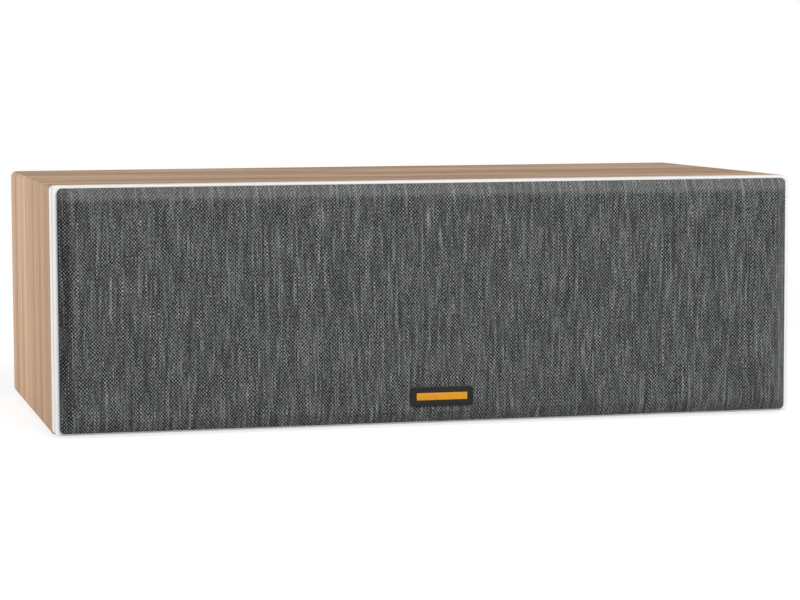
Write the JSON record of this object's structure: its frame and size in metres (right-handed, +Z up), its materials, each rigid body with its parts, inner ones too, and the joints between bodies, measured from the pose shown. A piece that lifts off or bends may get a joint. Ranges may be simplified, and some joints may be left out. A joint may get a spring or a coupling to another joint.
{
  "type": "centre channel speaker",
  "caption": "Wide closed-back loudspeaker box with wood-finished sleeve, white front board and a pull-off bevelled cloth grille over cone and dome drivers, with rear ports and screw terminals.",
  "frame": {"origin": "middle of the bounding box's footprint, on the surface the feet stand on", "axes": "+X to the right as seen from the front, -Y out of the grille, +Z up"},
  "size_m": [0.48, 0.2502, 0.156],
  "materials": {
    "wood_foil": "satin printed oak foil",
    "white_lacquer": "satin white lacquer",
    "raw_board": "raw fibreboard",
    "black_board": "matt black foil",
    "foot_rubber": "matt",
    "grille_plastic": "moulded",
    "grille_cloth": "woven melange",
    "badge_black": "gloss",
    "black_plastic": "fine grained",
    "basket_steel": "black powder coat",
    "gasket_foam": "foam",
    "surround_rubber": "satin",
    "cone_paper": "coated pulp",
    "spider_cloth": "resin-stiffened weave",
    "copper": "enamelled wire",
    "plated_steel": "zinc plated",
    "ferrite": "matt sintered",
    "silk_dome": "coated silk",
    "phenolic": "laminate with tinned tags",
    "circuit_board": "solder mask",
    "capacitor_film": "wrapped film",
    "resistor_cement": "cement",
    "gold_plate": "gold plated",
    "cap_red": "moulded",
    "cap_black": "moulded",
    "screw_black": "black oxide",
    "wadding": "loose polyester fibre",
    "lead_sleeve": "vinyl"
  },
  "bodies": {
    "cabinet": {"cabinet_wrap": "wood_foil", "front_baffle": "white_lacquer", "rear_panel": "black_board", "brace_left": "raw_board", "brace_right": "raw_board", "feet": "foot_rubber", "peg_sockets": "black_plastic", "woofer_tag_strips": "phenolic", "woofer_screws": "screw_black", "tweeter_faceplate": "black_plastic", "tweeter_gasket": "gasket_foam", "tweeter_dome": "silk_dome", "tweeter_voice_coil": "copper", "tweeter_top_plate": "plated_steel", "tweeter_magnet": "ferrite", "tweeter_yoke": "plated_steel", "tweeter_tag_strip": "phenolic", "tweeter_screws": "screw_black", "crossover_board": "circuit_board", "board_spacers": "black_plastic", "crossover_bass_coil": "copper", "crossover_treble_coil": "copper", "crossover_capacitors": "capacitor_film", "crossover_resistor": "resistor_cement", "terminal_cup": "black_plastic", "terminal_gasket": "gasket_foam", "post_red": "gold_plate", "post_black": "gold_plate", "post_nuts": "plated_steel", "terminal_screws": "screw_black", "port_left": "black_plastic", "port_right": "black_plastic", "wadding": "wadding", "internal_leads": "lead_sleeve", "woofer_left_basket": "basket_steel", "woofer_left_gasket": "gasket_foam", "woofer_left_surround": "surround_rubber", "woofer_left_spider": "spider_cloth", "woofer_left_top_plate": "plated_steel", "woofer_left_magnet": "ferrite", "woofer_left_yoke": "plated_steel", "woofer_right_basket": "basket_steel", "woofer_right_gasket": "gasket_foam", "woofer_right_surround": "surround_rubber", "woofer_right_spider": "spider_cloth", "woofer_right_top_plate": "plated_steel", "woofer_right_magnet": "ferrite", "woofer_right_yoke": "plated_steel"},
    "grille": {"grille_frame": "grille_plastic", "grille_cloth": "grille_cloth", "grille_pegs": "black_plastic", "grille_badge": "badge_black"},
    "cone_left": {"woofer_left_cone": "cone_paper", "woofer_left_dust_cap": "cone_paper", "woofer_left_voice_coil": "copper"},
    "cone_right": {"woofer_right_cone": "cone_paper", "woofer_right_dust_cap": "cone_paper", "woofer_right_voice_coil": "copper"},
    "cap_red_screw": {"cap_red": "cap_red"},
    "cap_black_screw": {"cap_black": "cap_black"}
  },
  "joints": [
    {"name": "grille_pull", "type": "slide", "parent": "cabinet", "child": "grille", "axis": [0, -1, 0], "range_m": [0, 0.06]},
    {"name": "woofer_left_travel", "type": "slide", "parent": "cabinet", "child": "cone_left", "axis": [0, 1, 0], "range_m": [-0.004, 0.004], "stiffness_N_per_m": 1000, "deforming": ["woofer_left_surround", "woofer_left_spider"]},
    {"name": "woofer_right_travel", "type": "slide", "parent": "cabinet", "child": "cone_right", "axis": [0, 1, 0], "range_m": [-0.004, 0.004], "stiffness_N_per_m": 1000, "deforming": ["woofer_right_surround", "woofer_right_spider"]},
    {"name": "cap_red_unscrew", "type": "slide", "parent": "cabinet", "child": "cap_red_screw", "axis": [0, 1, 0], "range_m": [0, 0.007]},
    {"name": "cap_black_unscrew", "type": "slide", "parent": "cabinet", "child": "cap_black_screw", "axis": [0, 1, 0], "range_m": [0, 0.007]}
  ]
}
